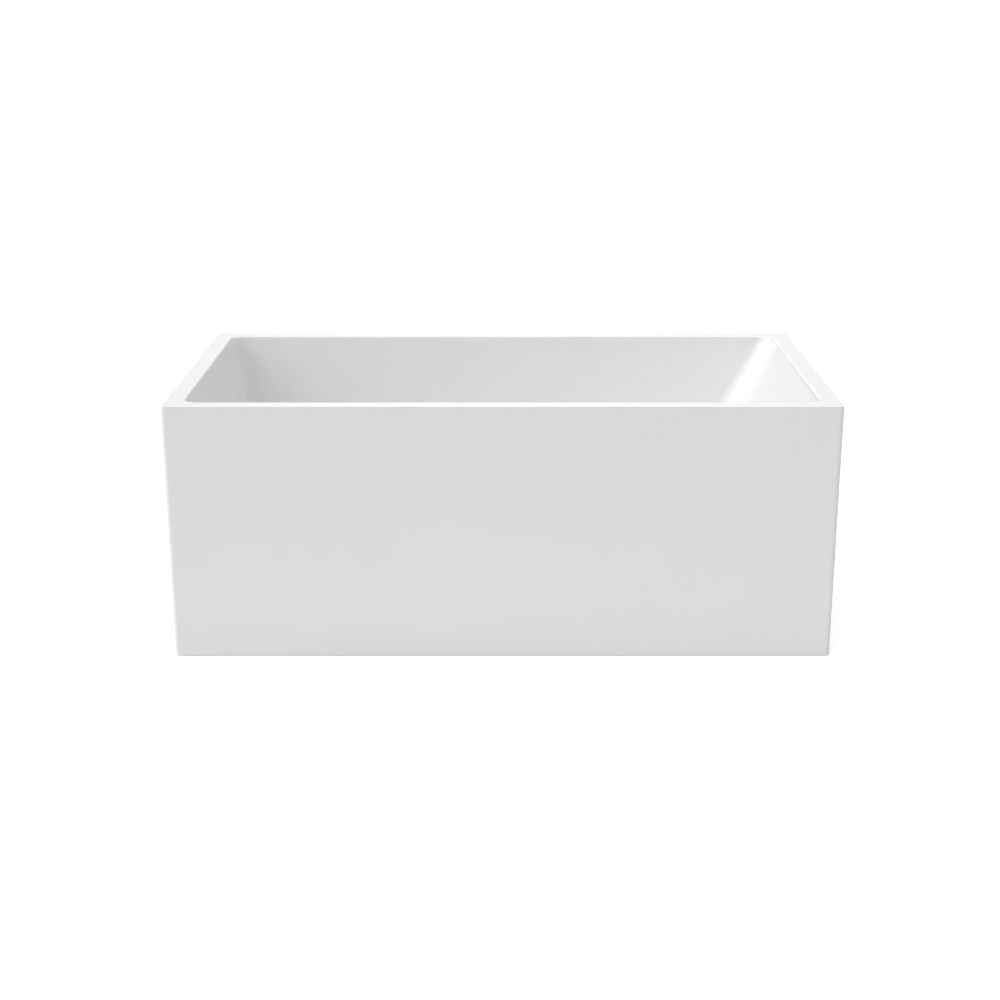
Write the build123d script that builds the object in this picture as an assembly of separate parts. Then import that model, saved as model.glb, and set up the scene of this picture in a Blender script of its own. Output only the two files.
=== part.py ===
"""Freestanding rectangular bathtub: a moulded basin with one sloped end, set in a square-edged skirt.

A frame of square steel tube is screwed to a board under the basin, and stands on six screw-adjusted feet.
A push-to-open waste drains the basin at its steep end. Millimetres; +X runs towards the sloped backrest,
+Y to the back, +Z up. The origin is on the floor, under the middle of the outer outline.
"""
from build123d import *
from math import cos, pi, radians, sin, tan
import os

# --- overall -----------------------------------------------------------------------------------------------
LENGTH = 1400.0
WIDTH = 750.0
HEIGHT = 550.0
FLOOR_GAP = 2.0            # under the skirt, so that the tub stands on its feet alone
EDGE_R = 10.0              # upright corners of the outside, in plan
INSIDE_R = 1.0             # least upright corner of a hollow

# --- basin -------------------------------------------------------------------------------------------------
SHELL = 5.0                # acrylic sheet
BACKING = 3.0              # glass fibre sprayed under the basin
RIM = 40.0                 # width of the flat rim
RIM_LIP = 10.0             # how far the rim turns down at the outside
RIM_DRAFT = 0.7            # how far that turned edge leans in at the top
RIM_EDGE_R = 1.0
WELL_EDGE_R = 5.0          # round between the rim and the inside walls
DRAIN_END_SLOPE = radians(4.5)
BACKREST_SLOPE = radians(27.0)
SIDE_SLOPE = radians(5.0)
WELL_TOP_CORNER_R = 32.0
WELL_FLOOR_CORNER_R = 90.0
WELL_FLOOR_R = 62.0        # round between the walls and the floor

# --- skirt -------------------------------------------------------------------------------------------------
SKIRT_WALL = 5.0
SKIRT_BACKING = 2.5        # glass fibre behind the skirt
SKIRT_FOOT_R = 1.0         # bottom outside edge
RETURN_WIDTH = 25.0        # inward turn along the bottom
TONGUE = 4.0               # thickness of the skirt's upstand behind the rim lip
TONGUE_DROP = 25.0         # how far that upstand reaches down inside the skirt
BOND_GAP = 0.5             # adhesive between the tongue and the rim

# --- board and frame ---------------------------------------------------------------------------------------
BOARD = 16.0
BOARD_MARGIN = 6.0         # from where the basin's floor starts to curve up
BOARD_CORNER_R = 30.0
BOARD_HOLE_R = 55.0        # around the waste
LEG_ROOM = 46.0            # from the floor to the cross members
TUBE = 25.0
TUBE_WALL = 1.5
TUBE_CORNER_R = 3.0
RAIL_Y = 200.0             # rails, from the middle
RAIL_TO_OUTLINE = 60.0     # from a rail's end
CROSS_TO_OUTLINE = 40.0    # from a cross member's end
CROSS_INSET = 140.0        # end cross members, from the ends of the outline
PLUG_FACE = 2.0            # thickness of a tube end plug's head
PLUG_DEPTH = 14.0
PLUG_WALL = 2.0
PLUG_EDGE_R = 0.8
BRACKET = 3.0              # bracket plate
BRACKET_WIDTH = 30.0
BRACKET_UPRIGHT = 60.0
BRACKET_LAP = 34.0         # how far a bracket lies on its tube
BRACKET_BEND_R = 2.7
BOLT_R = 3.0
BOLT_LENGTH = 14.0
BOLT_INSET = 20.0          # bolt, from the end of its tube
SCREW_R = 2.75
SCREW_BITE = 12.0          # how far a rail screw goes into the board
SCREWS_PER_RAIL = 4
SCREW_INSET = 60.0         # end screws, from the ends of the board
HEAD_FLATS = 10.0
HEAD = 4.0
HEAD_FLANGE_R = 7.0
HEAD_FLANGE = 1.2
SHANK_POINT = 0.8          # chamfer at a screw's tip

# --- feet --------------------------------------------------------------------------------------------------
FOOT_INSET = 90.0          # from the front and the back of the outline
STUD_R = 6.0
STUD_CLEARANCE = 0.05      # radial, in the nuts and in the foot
STUD_HOLE_R = 6.5          # in the tube
STUD_ABOVE_TUBE = 25.0
STUD_HEX_FLATS = 14.0
STUD_HEX = 6.0
STUD_HEX_GAP = 0.3         # over the foot
STUD_SEAT_GAP = 0.2        # under the stud in its socket
STUD_POINT = 0.9           # chamfer at both ends
NUT_FLATS = 18.0
NUT_TRIM = 0.8             # share of a nut's points that is turned off at its faces
WELD_NUT = 10.0
LOCK_NUT = 6.0
PAD_R = 25.0
PAD_TOP_R = 13.0
PAD_TOP_Z = 16.0
PAD_RIM = 4.0              # upright edge at the bottom
PAD_NECK = 3.0             # upright edge at the top
PAD_NECK_R = 1.0
PAD_LIFT = 1.5             # pad's plastic above the floor
PAD_SOCKET_Z = 6.0         # bottom of the stud's socket
SOLE_R = 21.0
SOLE = 4.0
SOLE_EDGE_R = 0.6

# --- waste -------------------------------------------------------------------------------------------------
DRAIN_FROM_END = 235.0     # from the drain end of the outline
DRAIN_HOLE_R = 26.0
RECESS_R = 39.0
RECESS_DEPTH = 3.0
RECESS_EDGE_R = 1.2
TAIL_R = 23.9              # outside of a G 1 1/2 thread
TAIL_WALL = 3.4
TAIL_BELOW_NUT = 46.0
TAIL_POINT = 1.0           # chamfer at the tail's end
RELIEF = 2.0               # groove under the back nut, where the outlet's thread begins
RELIEF_DEPTH = 1.0
FLANGE_R = 36.0
FLANGE = 2.5
FLANGE_EDGE = 1.0          # upright edge, below the slope
FLANGE_SEAT_R = 25.0
SEAT_DEPTH = 4.5
GASKET = 1.0
SEAL = 4.0                 # rubber washer under the basin
WASHER = 1.5
SEAL_R = 38.0
WASHER_R = 37.0
BACK_NUT = 9.5
BACK_NUT_FLATS = 60.0
SPIDER_DROP = 32.0         # top of the cross bar, below the basin's floor
SPIDER = 4.0
SPIDER_WIDTH = 6.0
SPIDER_HUB_R = 7.0

# --- push-to-open plug -------------------------------------------------------------------------------------
CAP_R = 31.5
CAP_CROWN = 3.5
CAP_EDGE = 2.2
CAP_EDGE_R = 0.6
CAP_LIP = 2.0
CAP_LIP_DROP = 1.5
CAP_SEAL_INNER_R = 22.5
CAP_SEAL_INSET = 0.5       # seal, inside the lip
CAP_SEAL_GAP = 0.3         # closed seal over the flange
CAP_SEAL = 2.0
SLEEVE_R = 8.0
SLEEVE_BORE_R = 6.1
SLEEVE_FOOT_GAP = 3.0      # closed sleeve over the cross bar
POST_R = 5.0
POST_COLLAR_R = 6.0
POST_COLLAR_AT = 10.0      # above the cross bar
POST_COLLAR = 7.0
POST_PIN_R = 2.5
POST_PIN_GAP = 4.5         # pin's tip below the closed cap
SPRING_WIRE_R = 0.6
SPRING_R = 4.2
SPRING_TURNS = 6
SPRING_GAP = 0.1           # at each end

FUSE = 1.0                 # how far bodies that are one piece run into each other

# --- worked out --------------------------------------------------------------------------------------------
DECK_UNDER = HEIGHT - SHELL
SKIRT_TOP = HEIGHT - RIM_LIP
CROSS_UNDER = LEG_ROOM
RAIL_UNDER = CROSS_UNDER + TUBE
BOARD_UNDER = RAIL_UNDER + TUBE
BOARD_TOP = BOARD_UNDER + BOARD
BASIN_FLOOR_Z = BOARD_TOP + BACKING + SHELL
TAIL_BORE_R = TAIL_R - TAIL_WALL
SKIRT_INSIDE = SKIRT_WALL + SKIRT_BACKING
RAIL_END = LENGTH / 2 - RAIL_TO_OUTLINE
CROSS_END = WIDTH / 2 - CROSS_TO_OUTLINE
DRAIN_X = -LENGTH / 2 + DRAIN_FROM_END
FOOT_Y = WIDTH / 2 - FOOT_INSET

CROSS_X = {"drain": -LENGTH / 2 + CROSS_INSET, "middle": 0.0, "backrest": LENGTH / 2 - CROSS_INSET}
SIDES = {"front": -1, "back": 1}


def rounded_block(length, width, corner_r, low, high):
    """An upright block with rounded corners, centred on the origin in plan."""
    return extrude(Pos(0, 0, low) * RectangleRounded(length, width, corner_r), high - low)


def ring_inside(outer_inset, inner_inset, low, high):
    """A band that follows the outer outline, between two insets from it."""
    def block(inset):
        corner = max(EDGE_R - inset, INSIDE_R)
        return rounded_block(LENGTH - 2 * inset, WIDTH - 2 * inset, corner, low, high)
    return block(outer_inset) - block(inner_inset)


def disc(radius, low, high, at=(0.0, 0.0)):
    return Pos(at[0], at[1], low) * extrude(Circle(radius), high - low)


def hexagon(flats, low, high):
    return Pos(0, 0, low) * extrude(RegularPolygon(flats / 2, 6, major_radius=False), high - low)


def nut(flats, bore_r, low, high):
    """A hexagon nut with its points rounded off at both faces."""
    point_r = flats / 2 / cos(radians(30))
    off = (point_r - flats / 2) * NUT_TRIM
    barrel = chamfer(disc(point_r, low, high).edges(), off * tan(radians(30)), off)
    return (hexagon(flats, low, high) & barrel) - disc(bore_r, low, high)


def turned(points):
    """A solid of revolution about Z through (radius, height) points."""
    return revolve(Plane.XZ * make_face(Polyline(*points, close=True)), Axis.Z)


def well(grow):
    """The bathing space, grown by a thickness on every wall: tapered, with round corners and floor edge."""
    def outline(z, corner_r):
        drop = HEIGHT - z
        low = -LENGTH / 2 + RIM + drop * tan(DRAIN_END_SLOPE) - grow / cos(DRAIN_END_SLOPE)
        high = LENGTH / 2 - RIM - drop * tan(BACKREST_SLOPE) + grow / cos(BACKREST_SLOPE)
        half = WIDTH / 2 - RIM - drop * tan(SIDE_SLOPE) + grow / cos(SIDE_SLOPE)
        return Pos((low + high) / 2, 0, z) * RectangleRounded(high - low, 2 * half, corner_r + grow)
    floor = BASIN_FLOOR_Z - grow
    body = loft([outline(floor, WELL_FLOOR_CORNER_R), outline(HEIGHT, WELL_TOP_CORNER_R)], ruled=True)
    body = fillet(body.edges().group_by(Axis.Z)[0], WELL_FLOOR_R + grow)
    recess = disc(RECESS_R + grow, floor - RECESS_DEPTH, BASIN_FLOOR_Z + RECESS_DEPTH, (DRAIN_X, 0))
    return body + recess


def below(shape, z):
    """The part of a shape that is under a height."""
    return shape & Pos(0, 0, z - HEIGHT) * Box(2 * LENGTH, 2 * WIDTH, 2 * HEIGHT)


def floor_flat():
    """The flat part of the basin's floor, as (low x, high x, half width)."""
    drop = HEIGHT - BASIN_FLOOR_Z

    def reach(slope):
        return drop * tan(slope) + WELL_FLOOR_R * tan((pi / 2 - slope) / 2)
    return (-LENGTH / 2 + RIM + reach(DRAIN_END_SLOPE), LENGTH / 2 - RIM - reach(BACKREST_SLOPE),
            WIDTH / 2 - RIM - reach(SIDE_SLOPE))


def basin():
    """Acrylic shell: the rim with its turned edge, and the well with a seat for the waste."""
    foot = Pos(0, 0, SKIRT_TOP) * RectangleRounded(LENGTH, WIDTH, EDGE_R)
    top = RectangleRounded(LENGTH - 2 * RIM_DRAFT, WIDTH - 2 * RIM_DRAFT, EDGE_R - RIM_DRAFT)
    turned_edge = loft([foot, Pos(0, 0, HEIGHT) * top], ruled=True)
    turned_edge = fillet(turned_edge.edges().group_by(Axis.Z)[-1], RIM_EDGE_R)
    hollow = rounded_block(LENGTH - 2 * SHELL, WIDTH - 2 * SHELL, EDGE_R - SHELL, SKIRT_TOP, DECK_UNDER)
    shell = (turned_edge - hollow) + below(WELL_OUTSIDE, HEIGHT - RIM_EDGE_R) - WELL_INSIDE
    shell -= disc(DRAIN_HOLE_R, 0, BASIN_FLOOR_Z, (DRAIN_X, 0))
    top_edges = shell.edges().group_by(Axis.Z)[-1]
    well_edge = [e for e in top_edges
                 if abs(e.center().X) < LENGTH / 2 - RIM / 2 and abs(e.center().Y) < WIDTH / 2 - RIM / 2]
    return fillet(well_edge, WELL_EDGE_R)


def basin_backing():
    """Glass fibre under the whole well."""
    layer = WELL_BACKED - WELL_OUTSIDE - disc(DRAIN_HOLE_R, 0, BASIN_FLOOR_Z, (DRAIN_X, 0))
    return below(layer, DECK_UNDER)


def skirt():
    """Upright wall, with an inward turn at the floor and, at the top, a tongue that locates the rim."""
    shell = rounded_block(LENGTH, WIDTH, EDGE_R, FLOOR_GAP, SKIRT_TOP)
    shell = fillet(shell.edges().group_by(Axis.Z)[0], SKIRT_FOOT_R)
    hollow_r = max(EDGE_R - SKIRT_WALL, INSIDE_R)
    shell -= rounded_block(LENGTH - 2 * SKIRT_WALL, WIDTH - 2 * SKIRT_WALL, hollow_r, FLOOR_GAP, SKIRT_TOP)
    turn = ring_inside(SKIRT_WALL - FUSE, SKIRT_WALL + RETURN_WIDTH, FLOOR_GAP, FLOOR_GAP + SKIRT_WALL)
    outer, inner = SHELL + BOND_GAP, SHELL + BOND_GAP + TONGUE
    tongue_root = ring_inside(SKIRT_WALL - FUSE, inner, SKIRT_TOP - TONGUE_DROP, SKIRT_TOP)
    tongue = ring_inside(outer, inner, SKIRT_TOP - FUSE, DECK_UNDER - BOND_GAP)
    return shell + turn + tongue_root + tongue


def skirt_backing():
    """Glass fibre inside the skirt, between its turn and its tongue."""
    return ring_inside(SKIRT_WALL, SKIRT_INSIDE, FLOOR_GAP + SKIRT_WALL, SKIRT_TOP - TONGUE_DROP)


def board_span():
    """The board in plan, as (low x, high x, half width)."""
    low, high, half = floor_flat()
    return low + BOARD_MARGIN, high - BOARD_MARGIN, half - BOARD_MARGIN


def screw_spots():
    """Where the rail screws go, as (x, y)."""
    low, high, _ = board_span()
    first, last = low + SCREW_INSET, high - SCREW_INSET
    step = (last - first) / (SCREWS_PER_RAIL - 1)
    return [(first + i * step, side * RAIL_Y) for i in range(SCREWS_PER_RAIL) for side in SIDES.values()]


def base_board():
    """Plywood under the well's floor, with a hole for the waste and pilot holes for the rail screws."""
    low, high, half = board_span()
    plan = Pos((low + high) / 2, 0, BOARD_UNDER) * RectangleRounded(high - low, 2 * half, BOARD_CORNER_R)
    board = extrude(plan, BOARD) - disc(BOARD_HOLE_R, BOARD_UNDER, BOARD_TOP, (DRAIN_X, 0))
    for spot in screw_spots():
        board -= disc(SCREW_R, BOARD_UNDER, BOARD_UNDER + SCREW_BITE, spot)
    return board


def square_tube(half_length):
    """A hollow square tube along X, open at both ends, centred on the origin."""
    bore = TUBE - 2 * TUBE_WALL
    section = RectangleRounded(TUBE, TUBE, TUBE_CORNER_R)
    section -= RectangleRounded(bore, bore, TUBE_CORNER_R - TUBE_WALL)
    return extrude(Plane.YZ.offset(-half_length) * section, 2 * half_length)


def rail(side):
    """Tube along the tub, under the board."""
    tube = Pos(0, side * RAIL_Y, RAIL_UNDER + TUBE / 2) * square_tube(RAIL_END - PLUG_FACE)
    for spot in screw_spots():
        tube -= disc(SCREW_R, RAIL_UNDER, BOARD_UNDER, spot)
    for end in (-1, 1):
        bolt_spot = (end * (RAIL_END - BOLT_INSET), side * RAIL_Y)
        tube -= disc(BOLT_R, BOARD_UNDER - 2 * TUBE_WALL, BOARD_UNDER, bolt_spot)
    return tube


def cross_member(x):
    """Tube across the tub, under the rails, with a foot at each end."""
    tube = Pos(x, 0, CROSS_UNDER + TUBE / 2) * Rot(0, 0, 90) * square_tube(CROSS_END - PLUG_FACE)
    for side in SIDES.values():
        tube -= disc(STUD_HOLE_R, CROSS_UNDER, RAIL_UNDER, (x, side * FOOT_Y))
        bolt_spot = (x, side * (CROSS_END - BOLT_INSET))
        tube -= disc(BOLT_R, RAIL_UNDER - 2 * TUBE_WALL, RAIL_UNDER, bolt_spot)
    return tube


def tube_ends():
    """Each open tube end, as a placement whose +X points out of the tube and +Z up."""
    ends = []
    for side in SIDES.values():
        for end, turn in ((1, 0), (-1, 180)):
            ends.append(Pos(end * RAIL_END, side * RAIL_Y, RAIL_UNDER + TUBE / 2) * Rot(0, 0, turn))
        for x in CROSS_X.values():
            ends.append(Pos(x, side * CROSS_END, CROSS_UNDER + TUBE / 2) * Rot(0, 0, side * 90))
    return ends


def tube_end_plug():
    """A plastic plug that closes a tube end, at the origin with its face towards +X."""
    def bar(size, corner_r, low, high):
        return extrude(Plane.YZ.offset(low) * RectangleRounded(size, size, corner_r), high - low)
    bore = TUBE - 2 * TUBE_WALL
    corner_r = TUBE_CORNER_R - TUBE_WALL
    head = bar(TUBE, TUBE_CORNER_R, -PLUG_FACE, 0)
    head = fillet(head.faces().sort_by(Axis.X)[-1].edges(), PLUG_EDGE_R)
    stem = bar(bore, corner_r, -PLUG_DEPTH, -PLUG_FACE)
    hollow = bar(bore - 2 * PLUG_WALL, corner_r, -PLUG_DEPTH, -PLUG_FACE - PLUG_WALL)
    return head + stem - hollow


def bracket(reach):
    """An L plate on a tube's top face, from the tube's end out to the skirt, at a tube end's placement."""
    top = TUBE / 2
    flat = Box(reach + BRACKET_LAP, BRACKET_WIDTH, BRACKET)
    upright = Box(BRACKET, BRACKET_WIDTH, BRACKET_UPRIGHT)
    plate = Pos((reach - BRACKET_LAP) / 2, 0, top + BRACKET / 2) * flat
    plate += Pos(reach - BRACKET / 2, 0, top + BRACKET_UPRIGHT / 2) * upright
    bend = plate.edges().filter_by(Axis.Y).sort_by_distance((reach, 0, top))[0]
    plate = fillet(bend, BRACKET_BEND_R)
    return plate - disc(BOLT_R, top, top + BRACKET, (-BOLT_INSET, 0))


def hex_screw(shank_r, shank):
    """A flanged hexagon head screw: its head stands on z = 0 and its shank hangs below."""
    head = disc(HEAD_FLANGE_R, 0, HEAD_FLANGE) + hexagon(HEAD_FLATS, HEAD_FLANGE, HEAD)
    shank_body = chamfer(disc(shank_r, -shank, 0).edges().sort_by(Axis.Z)[0], SHANK_POINT)
    return head + shank_body


def brackets_and_bolts():
    """A bracket and its bolt on each tube end, out to the skirt."""
    plates, bolts = [], []
    for end in tube_ends():
        along_x = abs(end.position.Y) < CROSS_END - 1
        reach = (LENGTH / 2 - RAIL_END if along_x else WIDTH / 2 - CROSS_END) - SKIRT_INSIDE
        plates.append(end * bracket(reach))
        bolts.append(end * Pos(-BOLT_INSET, 0, TUBE / 2 + BRACKET) * hex_screw(BOLT_R, BOLT_LENGTH))
    return plates, bolts


def rail_screws():
    """Long screws up through the rails into the board."""
    shank = TUBE + SCREW_BITE
    return [Pos(x, y, RAIL_UNDER) * Rot(180, 0, 0) * hex_screw(SCREW_R, shank) for x, y in screw_spots()]


def foot_spots():
    """Each foot's place in plan, by its name."""
    return {f"{side}_{end}": (x, sign * FOOT_Y) for side, sign in SIDES.items() for end, x in CROSS_X.items()}


def foot_pad():
    """Plastic foot, at the origin: a cone with a socket for the stud and a recess for the sole below."""
    body = turned([(0, PAD_LIFT), (PAD_R, PAD_LIFT), (PAD_R, PAD_LIFT + PAD_RIM),
                   (PAD_TOP_R, PAD_TOP_Z - PAD_NECK), (PAD_TOP_R, PAD_TOP_Z), (0, PAD_TOP_Z)])
    body = fillet(body.edges().filter_by(GeomType.CIRCLE).group_by(Axis.Z)[-1], PAD_NECK_R)
    body -= disc(STUD_R + STUD_CLEARANCE, PAD_SOCKET_Z, PAD_TOP_Z)
    return body - disc(SOLE_R, 0, SOLE)


def foot_sole():
    return fillet(disc(SOLE_R, 0, SOLE).edges().group_by(Axis.Z)[0], SOLE_EDGE_R)


def leg_stud():
    """Threaded stud with a spanner hexagon, drawn as its outside cylinder."""
    stud = disc(STUD_R, PAD_SOCKET_Z + STUD_SEAT_GAP, RAIL_UNDER + STUD_ABOVE_TUBE)
    stud = chamfer(stud.edges().filter_by(GeomType.CIRCLE), STUD_POINT)
    hex_low = PAD_TOP_Z + STUD_HEX_GAP
    return stud + nut(STUD_HEX_FLATS, STUD_R - FUSE, hex_low, hex_low + STUD_HEX)


def leg_nuts():
    """The nut welded under a cross member and the lock nut below it, on the origin in plan."""
    bore = STUD_R + STUD_CLEARANCE
    weld = nut(NUT_FLATS, bore, CROSS_UNDER - WELD_NUT, CROSS_UNDER)
    lock = nut(NUT_FLATS, bore, CROSS_UNDER - WELD_NUT - LOCK_NUT, CROSS_UNDER - WELD_NUT)
    return weld, lock


# --- waste: each piece is turned about Z at the origin, and moved to the drain -----------------------------
SEAT_Z = BASIN_FLOOR_Z - RECESS_DEPTH
FLANGE_UNDER = SEAT_Z + GASKET
FLANGE_TOP = FLANGE_UNDER + FLANGE
BULGE_UNDER = SEAT_Z - SHELL - BACKING
NUT_TOP = BULGE_UNDER - SEAL - WASHER
TAIL_END = NUT_TOP - BACK_NUT - TAIL_BELOW_NUT
SPIDER_TOP = BASIN_FLOOR_Z - SPIDER_DROP
CAP_UNDER = FLANGE_TOP + CAP_SEAL_GAP + CAP_SEAL
CAP_SEAL_R = CAP_R - CAP_LIP - CAP_SEAL_INSET


def at_drain(shape):
    return Pos(DRAIN_X, 0, 0) * shape


def waste_body():
    """Flanged tail with a cross bar in its bore, which holds the plug's post."""
    groove_r = TAIL_R - RELIEF_DEPTH
    groove_top = NUT_TOP - BACK_NUT
    body = turned([(TAIL_BORE_R, TAIL_END), (TAIL_R - TAIL_POINT, TAIL_END), (TAIL_R, TAIL_END + TAIL_POINT),
                   (TAIL_R, groove_top - RELIEF), (groove_r, groove_top - RELIEF),
                   (groove_r, groove_top), (TAIL_R, groove_top),
                   (TAIL_R, FLANGE_UNDER), (FLANGE_R, FLANGE_UNDER), (FLANGE_R, FLANGE_UNDER + FLANGE_EDGE),
                   (FLANGE_R - FLANGE, FLANGE_TOP), (FLANGE_SEAT_R, FLANGE_TOP),
                   (TAIL_BORE_R, FLANGE_TOP - SEAT_DEPTH)])
    span = 2 * (TAIL_BORE_R + FUSE)
    cross = Box(span, SPIDER_WIDTH, SPIDER) + Box(SPIDER_WIDTH, span, SPIDER)
    hub = disc(SPIDER_HUB_R, SPIDER_TOP - SPIDER, SPIDER_TOP)
    return body + Pos(0, 0, SPIDER_TOP - SPIDER / 2) * cross + hub


def flat_ring(outer_r, inner_r, low, high):
    return disc(outer_r, low, high) - disc(inner_r, low, high)


def plug_cap():
    """A shallow dome with a lip that hangs round its seal."""
    rim_z = CAP_UNDER + CAP_EDGE
    top_z = rim_z + CAP_CROWN
    lip_z = CAP_UNDER - CAP_LIP_DROP
    crown = TangentArc((0, top_z), (CAP_R, rim_z), tangent=(1, 0))
    rest = Polyline((0, top_z), (0, CAP_UNDER), (CAP_R - CAP_LIP, CAP_UNDER),
                    (CAP_R - CAP_LIP, lip_z), (CAP_R, lip_z), (CAP_R, rim_z))
    cap = revolve(Plane.XZ * make_face(Curve() + [crown, rest]), Axis.Z)
    rim = cap.edges().filter_by(GeomType.CIRCLE).sort_by(lambda edge: -edge.radius)[:2]
    return fillet(rim, CAP_EDGE_R)


def plug_post():
    """Post on the cross bar: a collar guides the sleeve, and a pin above it guides the spring."""
    collar = SPIDER_TOP + POST_COLLAR_AT
    return (disc(POST_R, SPIDER_TOP, collar) + disc(POST_COLLAR_R, collar, collar + POST_COLLAR)
            + disc(POST_PIN_R, collar + POST_COLLAR, CAP_UNDER - POST_PIN_GAP))


def plug_spring():
    """Compression spring between the post's collar and the cap, at its closed length."""
    low = SPIDER_TOP + POST_COLLAR_AT + POST_COLLAR + SPRING_WIRE_R + SPRING_GAP
    rise = CAP_UNDER - SPRING_WIRE_R - SPRING_GAP - low
    path = Pos(0, 0, low) * Helix(pitch=rise / SPRING_TURNS, height=rise, radius=SPRING_R)
    wire = Plane(origin=path @ 0, z_dir=path % 0) * Circle(SPRING_WIRE_R)
    return sweep(wire, path=path, is_frenet=True)


def write(name, *shapes):
    """One STEP file per named piece. Several shapes are a group of identical separate solids."""
    solids = [solid for shape in shapes for solid in shape.solids()]
    piece = Compound(children=solids) if len(solids) > 1 else solids[0]
    piece.label = name
    export_step(piece, f"parts/{name}.step")


os.makedirs("parts", exist_ok=True)

WELL_INSIDE = well(0)
WELL_OUTSIDE = well(SHELL)
WELL_BACKED = well(SHELL + BACKING)

write("basin", basin())
write("basin_backing", basin_backing())
write("skirt", skirt())
write("skirt_backing", skirt_backing())
write("base_board", base_board())
for side_name, side_sign in SIDES.items():
    write(f"frame_rail_{side_name}", rail(side_sign))
for end_name, cross_x in CROSS_X.items():
    write(f"cross_member_{end_name}", cross_member(cross_x))
write("tube_end_plugs", *[end * tube_end_plug() for end in tube_ends()])
bracket_plates, bracket_bolts = brackets_and_bolts()
write("skirt_brackets", *bracket_plates)
write("bracket_bolts", *bracket_bolts)
write("rail_screws", *rail_screws())

weld_nut, lock_nut = leg_nuts()
write("weld_nuts", *[Pos(x, y, 0) * weld_nut for x, y in foot_spots().values()])
write("lock_nuts", *[Pos(x, y, 0) * lock_nut for x, y in foot_spots().values()])
for foot_name, (foot_x, foot_y) in foot_spots().items():
    write(f"foot_pad_{foot_name}", Pos(foot_x, foot_y, 0) * foot_pad())
    write(f"foot_sole_{foot_name}", Pos(foot_x, foot_y, 0) * foot_sole())
    write(f"leg_stud_{foot_name}", Pos(foot_x, foot_y, 0) * leg_stud())

write("waste_body", at_drain(waste_body()))
write("waste_gasket", at_drain(flat_ring(FLANGE_R, DRAIN_HOLE_R, SEAT_Z, FLANGE_UNDER)))
write("waste_seal", at_drain(flat_ring(SEAL_R, TAIL_R, BULGE_UNDER - SEAL, BULGE_UNDER)))
write("waste_washer", at_drain(flat_ring(WASHER_R, TAIL_R, NUT_TOP, NUT_TOP + WASHER)))
write("waste_back_nut", at_drain(nut(BACK_NUT_FLATS, TAIL_R, NUT_TOP - BACK_NUT, NUT_TOP)))
write("plug_cap", at_drain(plug_cap()))
write("plug_seal", at_drain(flat_ring(CAP_SEAL_R, CAP_SEAL_INNER_R, CAP_UNDER - CAP_SEAL, CAP_UNDER)))
write("plug_sleeve", at_drain(flat_ring(SLEEVE_R, SLEEVE_BORE_R, SPIDER_TOP + SLEEVE_FOOT_GAP, CAP_UNDER)))
write("plug_post", at_drain(plug_post()))
write("plug_spring", at_drain(plug_spring()))
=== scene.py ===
"""Freestanding bathtub: acrylic basin and skirt, chrome push-to-open plug, steel frame and feet."""
from math import atan2, ceil, cos, pi, radians, sin, sqrt, tan

import bmesh
import bpy
from mathutils import Matrix, Vector, noise


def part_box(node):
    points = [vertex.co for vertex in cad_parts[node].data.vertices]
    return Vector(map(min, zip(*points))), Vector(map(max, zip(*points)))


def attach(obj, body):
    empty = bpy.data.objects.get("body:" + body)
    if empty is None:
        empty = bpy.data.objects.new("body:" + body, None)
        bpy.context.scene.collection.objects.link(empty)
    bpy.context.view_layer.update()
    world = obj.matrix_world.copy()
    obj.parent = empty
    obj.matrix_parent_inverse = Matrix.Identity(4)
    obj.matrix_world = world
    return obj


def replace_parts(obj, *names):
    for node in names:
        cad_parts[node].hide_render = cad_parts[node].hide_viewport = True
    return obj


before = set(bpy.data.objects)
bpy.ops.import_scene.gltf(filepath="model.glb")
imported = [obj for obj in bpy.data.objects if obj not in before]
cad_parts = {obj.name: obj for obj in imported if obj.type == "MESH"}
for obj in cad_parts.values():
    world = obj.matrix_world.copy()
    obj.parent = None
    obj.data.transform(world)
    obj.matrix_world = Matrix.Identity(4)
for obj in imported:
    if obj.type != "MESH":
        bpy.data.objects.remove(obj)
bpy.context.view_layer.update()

MM = 0.001

# --- thicknesses of the acrylic and of the glass fibre under it, in metres ------------------------
SHELL = 5 * MM
BACKING = 3 * MM

# --- sizes read from the frame, in metres ---------------------------------------------------------
BASIN_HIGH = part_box("basin")[1]
SKIRT_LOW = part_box("skirt")[0]
HALF_LENGTH = BASIN_HIGH.x
HALF_WIDTH = BASIN_HIGH.y
RIM_Z = BASIN_HIGH.z
FLOOR_GAP = SKIRT_LOW.z
DECK_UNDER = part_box("basin_backing")[1].z
LIP_Z = DECK_UNDER - SHELL
BOARD_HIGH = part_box("base_board")[1]
DRAIN_X = (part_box("waste_body")[0].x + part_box("waste_body")[1].x) / 2
RAIL_LOW, RAIL_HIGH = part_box("frame_rail_back")
RAIL_Y = (RAIL_LOW.y + RAIL_HIGH.y) / 2
CROSS_ENDS = ("drain", "middle", "backrest")
CROSS_BOXES = {end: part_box("cross_member_" + end) for end in CROSS_ENDS}
CROSS_X = {end: (low.x + high.x) / 2 for end, (low, high) in CROSS_BOXES.items()}
CROSS_UNDER = CROSS_BOXES["middle"][0].z
TUBE = RAIL_HIGH.z - RAIL_LOW.z
FOOT_Y = (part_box("leg_stud_back_drain")[0].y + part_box("leg_stud_back_drain")[1].y) / 2
FEET = {side + "_" + end: (CROSS_X[end], sign * FOOT_Y)
        for side, sign in (("front", -1), ("back", 1)) for end in CROSS_ENDS}

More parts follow.
